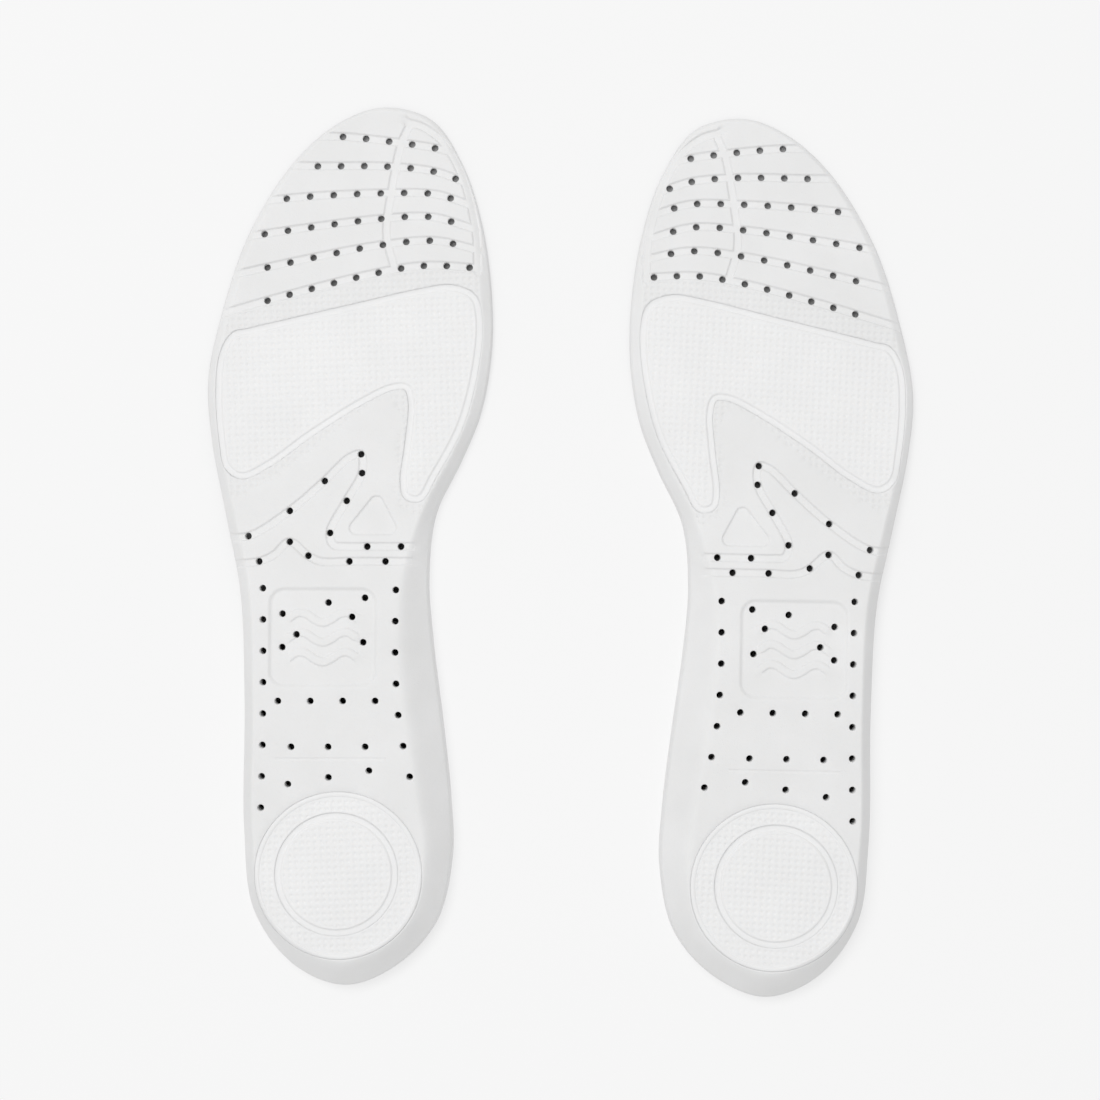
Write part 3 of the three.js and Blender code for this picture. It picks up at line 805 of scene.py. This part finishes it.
def ball_top(spots):
    inwards = in_groove(spots.places)
    pad = smooth(GROOVE_HALF - EDGE_SOFT, GROOVE_HALF + EDGE_SOFT, inwards)
    width, rise = GROOVE_FILLET
    floor = GROOVE_DEPTH - rise * smooth(width - GROOVE_HALF, -GROOVE_HALF, inwards)
    near, far = (GROOVE_HALF + out for out in BALL_FADE)
    texture = smooth(near, far, inwards) * PIT_DEPTH * pits(spots.places)
    crown = PAD_CROWN * (smooth(0, CROWN_WIDTH, inwards) - CROWN_SINK)
    return sole_side(spots) - mix(floor, texture - crown, pad)


def ball_pad():
    field = Field()
    foot = ball_line(SEAM - GROOVE_HALF)
    field.loop("foot", foot)
    for inwards in GROOVE_FLOOR_LINES:
        field.line(ball_line(inwards), closed=True)
    for offset in SIDE_OFFSETS:
        field.line(ball_line(GROOVE_HALF + offset), closed=True)
    low, high = foot.min(0), foot.max(0)
    texture = pit_grid(low, high)
    field.free(texture[in_groove(texture) > GROOVE_HALF + TEXTURE_MARGIN], TEXTURE_GAP)
    return two_sided(field.build("foot", ball_top), {"foot": foot}, BALL_PAD_THICKNESS)


def two_sided(top_built, loops, thickness):
    """A cushion: its top, its plain underside and the walls between them."""
    solid = Solid()
    top = solid.add(top_built)
    outer = next(iter(loops))
    bottom = solid.add(floor_field(loops).build(outer, below_sole(thickness)), up=False)
    for name in loops:
        solid.wall(top[name], bottom[name], outside=name == outer)
    return solid


def ring_top(spots):
    from_disc = np.linalg.norm(spots.places - HEEL, axis=1)
    from_border = RING_RADIUS - np.linalg.norm(spots.places - RING, axis=1)
    lip = np.clip(1 - (2 * from_border / LIP_WIDTH - 1) ** 2, 0, 1) ** LIP_POWER
    textured = smooth(*LIP_FADE, from_border - LIP_WIDTH)
    near, far = (DISC_GROOVE_RADIUS + out for out in RING_FADE)
    textured *= smooth(near, far, from_disc)
    drop = LIP_RISE * (1 - lip) + PIT_DEPTH * pits(spots.places) * textured
    groove_side = ramp(from_disc, DISC_GROOVE_RADIUS, EDGE_SOFT)
    drop += GROOVE_DEPTH * groove_side * GROOVE_SHARE_ON_RING
    return sole_side(spots) - drop


def heel_ring():
    loops = {
        "outer": circle(RING, RING_RADIUS - SEAM, BORDER_SIDES),
        "inner": circle(HEEL, DISC_GROOVE_RADIUS, DISC_BORDER_SIDES),
    }
    field = Field()
    for name, line in loops.items():
        field.loop(name, line)
    for out in RING_LINES:
        field.line(circle(HEEL, DISC_GROOVE_RADIUS + out, GUIDE_SIDES), closed=True)
    for share in LIP_SHARES:
        field.line(circle(RING, RING_RADIUS - LIP_WIDTH * share, GUIDE_SIDES), closed=True)
    texture = pit_grid(RING - RING_RADIUS, RING + RING_RADIUS)
    within = np.linalg.norm(texture - RING, axis=1) < RING_RADIUS - BORDER_MARGIN
    beyond = np.linalg.norm(texture - HEEL, axis=1) > DISC_GROOVE_RADIUS + BORDER_MARGIN
    field.free(texture[within & beyond], TEXTURE_GAP)
    return two_sided(field.build("outer", ring_top), loops, HEEL_PAD_THICKNESS)


def disc_top(spots):
    radius = np.linalg.norm(spots.places - HEEL, axis=1)
    pad = ramp(radius, DISC_RADIUS, EDGE_SOFT)
    far, near = (DISC_RADIUS - inwards for inwards in DISC_FADE)
    texture = PIT_DEPTH * pits(spots.places) * (1 - smooth(near, far, radius))
    crown = PAD_CROWN * (1 - smooth(0, DISC_RADIUS, radius))
    width, rise = GROOVE_FILLET
    floor = GROOVE_DEPTH - rise * smooth(DISC_GROOVE_RADIUS - width, DISC_GROOVE_RADIUS, radius)
    return sole_side(spots) - mix(floor, texture - crown, pad)


def heel_disc():
    outer = DISC_GROOVE_RADIUS - SEAM
    loops = {"outer": circle(HEEL, outer, BORDER_SIDES)}
    field = Field()
    field.loop("outer", loops["outer"])
    radii = [DISC_RADIUS + offset for offset in SIDE_OFFSETS]
    radii += [outer - inwards for inwards in DISC_LINES]
    for radius in radii:
        field.line(circle(HEEL, radius, GUIDE_SIDES), closed=True)
    texture = pit_grid(HEEL - outer, HEEL + outer)
    within = np.linalg.norm(texture - HEEL, axis=1) < outer - BORDER_MARGIN
    field.free(texture[within], TEXTURE_GAP)
    return two_sided(field.build("outer", disc_top), loops, HEEL_PAD_THICKNESS)


def top_cover():
    solid = Solid()
    sides = {}
    for name, offset in (("upper", COVER_THICKNESS), ("lower", 0)):
        field = foot_side_field(offset, edge_inset(rim_cup, offset))
        built = field.build("outline", lambda spots: foot_side(spots, offset))
        sides[name] = solid.add(built, up=name == "upper")
    solid.wall(sides["upper"]["outline"], sides["lower"]["outline"])
    for name in sides["upper"]:
        if name.startswith("hole"):
            solid.wall(sides["upper"][name], sides["lower"][name], outside=False)
    return solid


# ---- Materials ----

NOISE_RANGE = (0.3, 0.7)  # most of a noise texture's values lie in it
SHARP_ANGLE = math.radians(50)


class Finish:
    """A node material, built from a Principled shader outwards."""

    def __init__(self, name, roughness):
        self.material = bpy.data.materials.new(name)
        self.material.use_nodes = True
        self.tree = self.material.node_tree
        self.shader = next(n for n in self.tree.nodes if n.type == "BSDF_PRINCIPLED")
        self.shader.inputs["Roughness"].default_value = roughness
        self.place = self.node("ShaderNodeTexCoord").outputs["Object"]

    def node(self, kind, *inputs, **settings):
        made = self.tree.nodes.new(kind)
        for name, value in settings.items():
            setattr(made, name, value)
        for socket, value in enumerate(inputs):
            self.feed(made.inputs[socket], value)
        return made

    def feed(self, socket, value):
        if isinstance(value, bpy.types.NodeSocket):
            self.tree.links.new(value, socket)
        elif value is not None:
            socket.default_value = value

    def math(self, operation, *values):
        return self.node("ShaderNodeMath", *values, operation=operation).outputs[0]

    def noise(self, size, detail=2, stretch=(1, 1, 1)):
        """Noise with blotches of about a size in metres."""
        scaled = self.node("ShaderNodeMapping")
        self.feed(scaled.inputs["Vector"], self.place)
        scaled.inputs["Scale"].default_value = [s / size for s in stretch]
        made = self.node("ShaderNodeTexNoise")
        self.feed(made.inputs["Vector"], scaled.outputs[0])
        made.inputs["Scale"].default_value = 1
        made.inputs["Detail"].default_value = detail
        return made.outputs["Fac"]

    def cells(self, size):
        """Distance from the middles of small cells of a size in metres."""
        made = self.node("ShaderNodeTexVoronoi")
        self.feed(made.inputs["Vector"], self.place)
        made.inputs["Scale"].default_value = 1 / size
        return made.outputs["Distance"]

    def remap(self, value, low, high, new_low, new_high):
        made = self.node("ShaderNodeMapRange", value, low, high, new_low, new_high)
        return made.outputs[0]

    def tones(self, share, dark, light):
        made = self.node("ShaderNodeMix", data_type="RGBA")
        self.feed(made.inputs["Factor"], share)
        made.inputs["A"].default_value = (*dark, 1)
        made.inputs["B"].default_value = (*light, 1)
        return made.outputs["Result"]

    def bump(self, height, distance, strength=1, under=None):
        made = self.node("ShaderNodeBump")
        made.inputs["Strength"].default_value = strength
        made.inputs["Distance"].default_value = distance
        self.feed(made.inputs["Height"], height)
        if under is not None:
            self.feed(made.inputs["Normal"], under)
        return made.outputs["Normal"]

    def finish(self, colour, roughness, normal):
        self.feed(self.shader.inputs["Base Color"], colour)
        self.feed(self.shader.inputs["Roughness"], roughness)
        self.feed(self.shader.inputs["Normal"], normal)
        return self.material


def foam_finish(name, dark, light, grain):
    """Matte moulded foam: faint clouds in its white, fine pores with painted shade in them, and a dry
    skin.
    """
    finish = Finish(name, 0.7)
    clouds = finish.noise(0.018)
    fine = finish.noise(grain, detail=4)
    pores = finish.remap(finish.cells(grain * 2.4), 0.05, 0.28, 0, 1)
    cloudy = finish.remap(clouds, *NOISE_RANGE, 0.55, 1)
    # the pores darken the colour a little: painted shade in them
    share = finish.math("MULTIPLY", cloudy, finish.remap(pores, 0, 1, 0.8, 1))
    colour = finish.tones(share, dark, light)
    roughness = finish.remap(clouds, *NOISE_RANGE, 0.62, 0.8)
    skin = finish.bump(fine, 0.00006, 0.5)
    normal = finish.bump(pores, 0.00008, 0.4, skin)
    finish.shader.inputs["Subsurface Weight"].default_value = 0.15
    finish.shader.inputs["Subsurface Radius"].default_value = (1, 0.95, 0.9)
    finish.shader.inputs["Subsurface Scale"].default_value = 0.0012
    finish.shader.inputs["Specular IOR Level"].default_value = 0.35
    return finish.finish(colour, roughness, normal)


def knit_finish(name):
    """Knitted cloth: columns of small V-shaped stitches in a heathered grey yarn, with painted shade in
    the gaps between the stitches.
    """
    finish = Finish(name, 0.9)
    stitch_width, stitch_height = 0.0011, 0.0009
    split = finish.node("ShaderNodeSeparateXYZ", finish.place)
    across = finish.math("FRACT", finish.math("DIVIDE", split.outputs["X"], stitch_width))
    arm = finish.math("ABSOLUTE", finish.math("SUBTRACT", across, 0.5))
    along = finish.math("DIVIDE", split.outputs["Y"], stitch_height)
    lean = finish.math("MULTIPLY", arm, 1.3)
    slanted = finish.math("FRACT", finish.math("SUBTRACT", along, lean))
    rows = finish.math("ABSOLUTE", finish.math("SUBTRACT", slanted, 0.5))
    yarn = finish.remap(rows, 0.1, 0.48, 1, 0)
    from_leg = finish.math("ABSOLUTE", finish.math("SUBTRACT", arm, 0.25))
    legs = finish.remap(from_leg, 0.12, 0.25, 1, 0)
    height = finish.math("MULTIPLY", yarn, legs)
    heather = finish.noise(0.0006, detail=3, stretch=(2.2, 0.5, 1))
    clouds = finish.noise(0.03)
    mixed_yarn = finish.remap(heather, *NOISE_RANGE, 0.45, 1)
    # darker where the stitch height is low: painted shade in the gaps between the stitches
    share = finish.math("MULTIPLY", finish.remap(height, 0, 1, 0.45, 1), mixed_yarn)
    share = finish.math("MULTIPLY", share, finish.remap(clouds, *NOISE_RANGE, 0.9, 1))
    colour = finish.tones(share, (0.10, 0.105, 0.115), (0.40, 0.41, 0.43))
    fuzz = finish.bump(finish.noise(0.00025, detail=3), 0.00008, 0.5)
    normal = finish.bump(height, 0.0003, 0.9, fuzz)
    finish.shader.inputs["Sheen Weight"].default_value = 0.25
    finish.shader.inputs["Specular IOR Level"].default_value = 0.2
    return finish.finish(colour, finish.remap(height, 0, 1, 0.95, 0.8), normal)


finishes = {
    "foam_white": foam_finish("foam_white", (0.77, 0.77, 0.765), (0.85, 0.85, 0.85), 0.00035),
    "cushion_white": foam_finish("cushion_white", (0.82, 0.82, 0.82), (0.89, 0.89, 0.89), 0.00028),
    "cover_fabric": knit_finish("cover_fabric"),
}

# ---- Pieces ----


def placed(solid, side):
    """The solid's vertices in metres, where the CAD has its heel disc, and its faces."""
    vertices = solid.vertices.copy()
    heel = HEEL.copy()
    faces = solid.faces
    turn = 0
    if side == "left":
        vertices[:, 0] *= -1
        heel[0] *= -1
        faces = [face[::-1] for face in faces]
        turn = -LEFT_TURN
    rotation = np.array([[math.cos(turn), math.sin(turn)], [-math.sin(turn), math.cos(turn)]])
    low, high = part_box(f"{side}_heel_disc_cushion")
    middle = (np.array(low[:2]) + np.array(high[:2])) / 2
    vertices *= MM
    vertices[:, :2] = (vertices[:, :2] - heel * MM) @ rotation + middle
    return vertices, faces


def make_piece(name, side, solid, slot, node):
    vertices, faces = placed(solid, side)
    mesh = bpy.data.meshes.new(f"{side}_{name}")
    mesh.from_pydata(vertices.tolist(), [], faces)
    mesh.validate()
    mesh.shade_smooth()
    mesh.set_sharp_from_angle(angle=SHARP_ANGLE)
    mesh.materials.append(finishes[slot])
    piece = bpy.data.objects.new(mesh.name, mesh)
    bpy.context.collection.objects.link(piece)
    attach(piece, "root")
    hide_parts(f"{side}_{node}")
    return piece


solids = {
    "foam": (foam_body(), "foam_white", "foam_body"),
    "ball_pad": (ball_pad(), "cushion_white", "ball_cushion"),
    "heel_ring": (heel_ring(), "cushion_white", "heel_ring_cushion"),
    "heel_disc": (heel_disc(), "cushion_white", "heel_disc_cushion"),
    "cover": (top_cover(), "cover_fabric", "top_cover"),
}
for side in ("right", "left"):
    for name, (solid, slot, node) in solids.items():
        piece = make_piece(name, side, solid, slot, node)

# ---- Floor, light and camera, in metres ----

FLOOR_REACH = 3
FLOOR_HEIGHT, FLOOR_GREY, FLOOR_GLOW = -0.00002, 0.3, 0.635
SHADE_HEIGHT, SHADE_GREY, SHADE_GLOW = -0.00001, 0.5, 0
SHADE_INSET = 1  # millimetres inside the outline
GREY_SPREAD = 0.01
KEY_PLACE, KEY_SIZE, KEY_POWER = (-0.5, 0.55, 2.3), 1.2, 25
STUDIO_LIGHT = 0.58
CAMERA_PLACE = (-0.00333, 0.00055, 1.0)
FRAME_WIDTH = 0.352  # of what the camera sees on the floor
SENSOR_WIDTH = 36


def make_floor():
    """A pale sheet that glows like a light table, and under each insole a patch that doesn't, so
    that the vent holes look dark."""
    reach = FLOOR_REACH
    sheet = [(-reach, -reach), (reach, -reach), (reach, reach), (-reach, reach)]
    patches = {"floor": (sheet, FLOOR_HEIGHT, FLOOR_GREY, FLOOR_GLOW)}
    plan = Plan(rim_at(SHADE_INSET))
    for side in ("right", "left"):
        outline = placed(plan, side)[0][:, :2].tolist()
        patches[f"{side}_shade"] = (outline, SHADE_HEIGHT, SHADE_GREY, SHADE_GLOW)
    for name, (outline, height, grey, glow) in patches.items():
        mesh = bpy.data.meshes.new(name)
        mesh.from_pydata([(x, y, height) for x, y in outline], [], [list(range(len(outline)))])
        piece = bpy.data.objects.new(name, mesh)
        bpy.context.collection.objects.link(piece)
        finish = Finish(name, 0.9)
        dark, light = [grey - GREY_SPREAD] * 3, [grey + GREY_SPREAD] * 3
        colour = finish.tones(finish.noise(0.5), dark, light)
        finish.shader.inputs["Specular IOR Level"].default_value = 0
        finish.shader.inputs["Emission Color"].default_value = (1, 1, 1, 1)
        finish.shader.inputs["Emission Strength"].default_value = glow
        mesh.materials.append(finish.finish(colour, 0.9, None))


def make_light(name, place, aim, size, power):
    data = bpy.data.lights.new(name, "AREA")
    data.shape = "DISK"
    data.size = size
    data.energy = power
    light = bpy.data.objects.new(name, data)
    light.location = place
    light.rotation_euler = (Vector(aim) - Vector(place)).to_track_quat("-Z", "Y").to_euler()
    bpy.context.collection.objects.link(light)


def make_camera():
    data = bpy.data.cameras.new("camera")
    data.sensor_width = SENSOR_WIDTH
    data.lens = data.sensor_width * CAMERA_PLACE[2] / FRAME_WIDTH
    data.clip_start, data.clip_end = 0.05, 20
    camera = bpy.data.objects.new("camera", data)
    camera.location = CAMERA_PLACE
    bpy.context.collection.objects.link(camera)
    bpy.context.scene.camera = camera


make_floor()
make_light("key", KEY_PLACE, (0, 0, 0), KEY_SIZE, KEY_POWER)
make_camera()

world = bpy.data.worlds.new("studio")
bpy.context.scene.world = world
world.use_nodes = True
background = world.node_tree.nodes["Background"]
background.inputs["Color"].default_value = (1, 1, 1, 1)
background.inputs["Strength"].default_value = STUDIO_LIGHT
bpy.context.scene.view_settings.view_transform = "Standard"
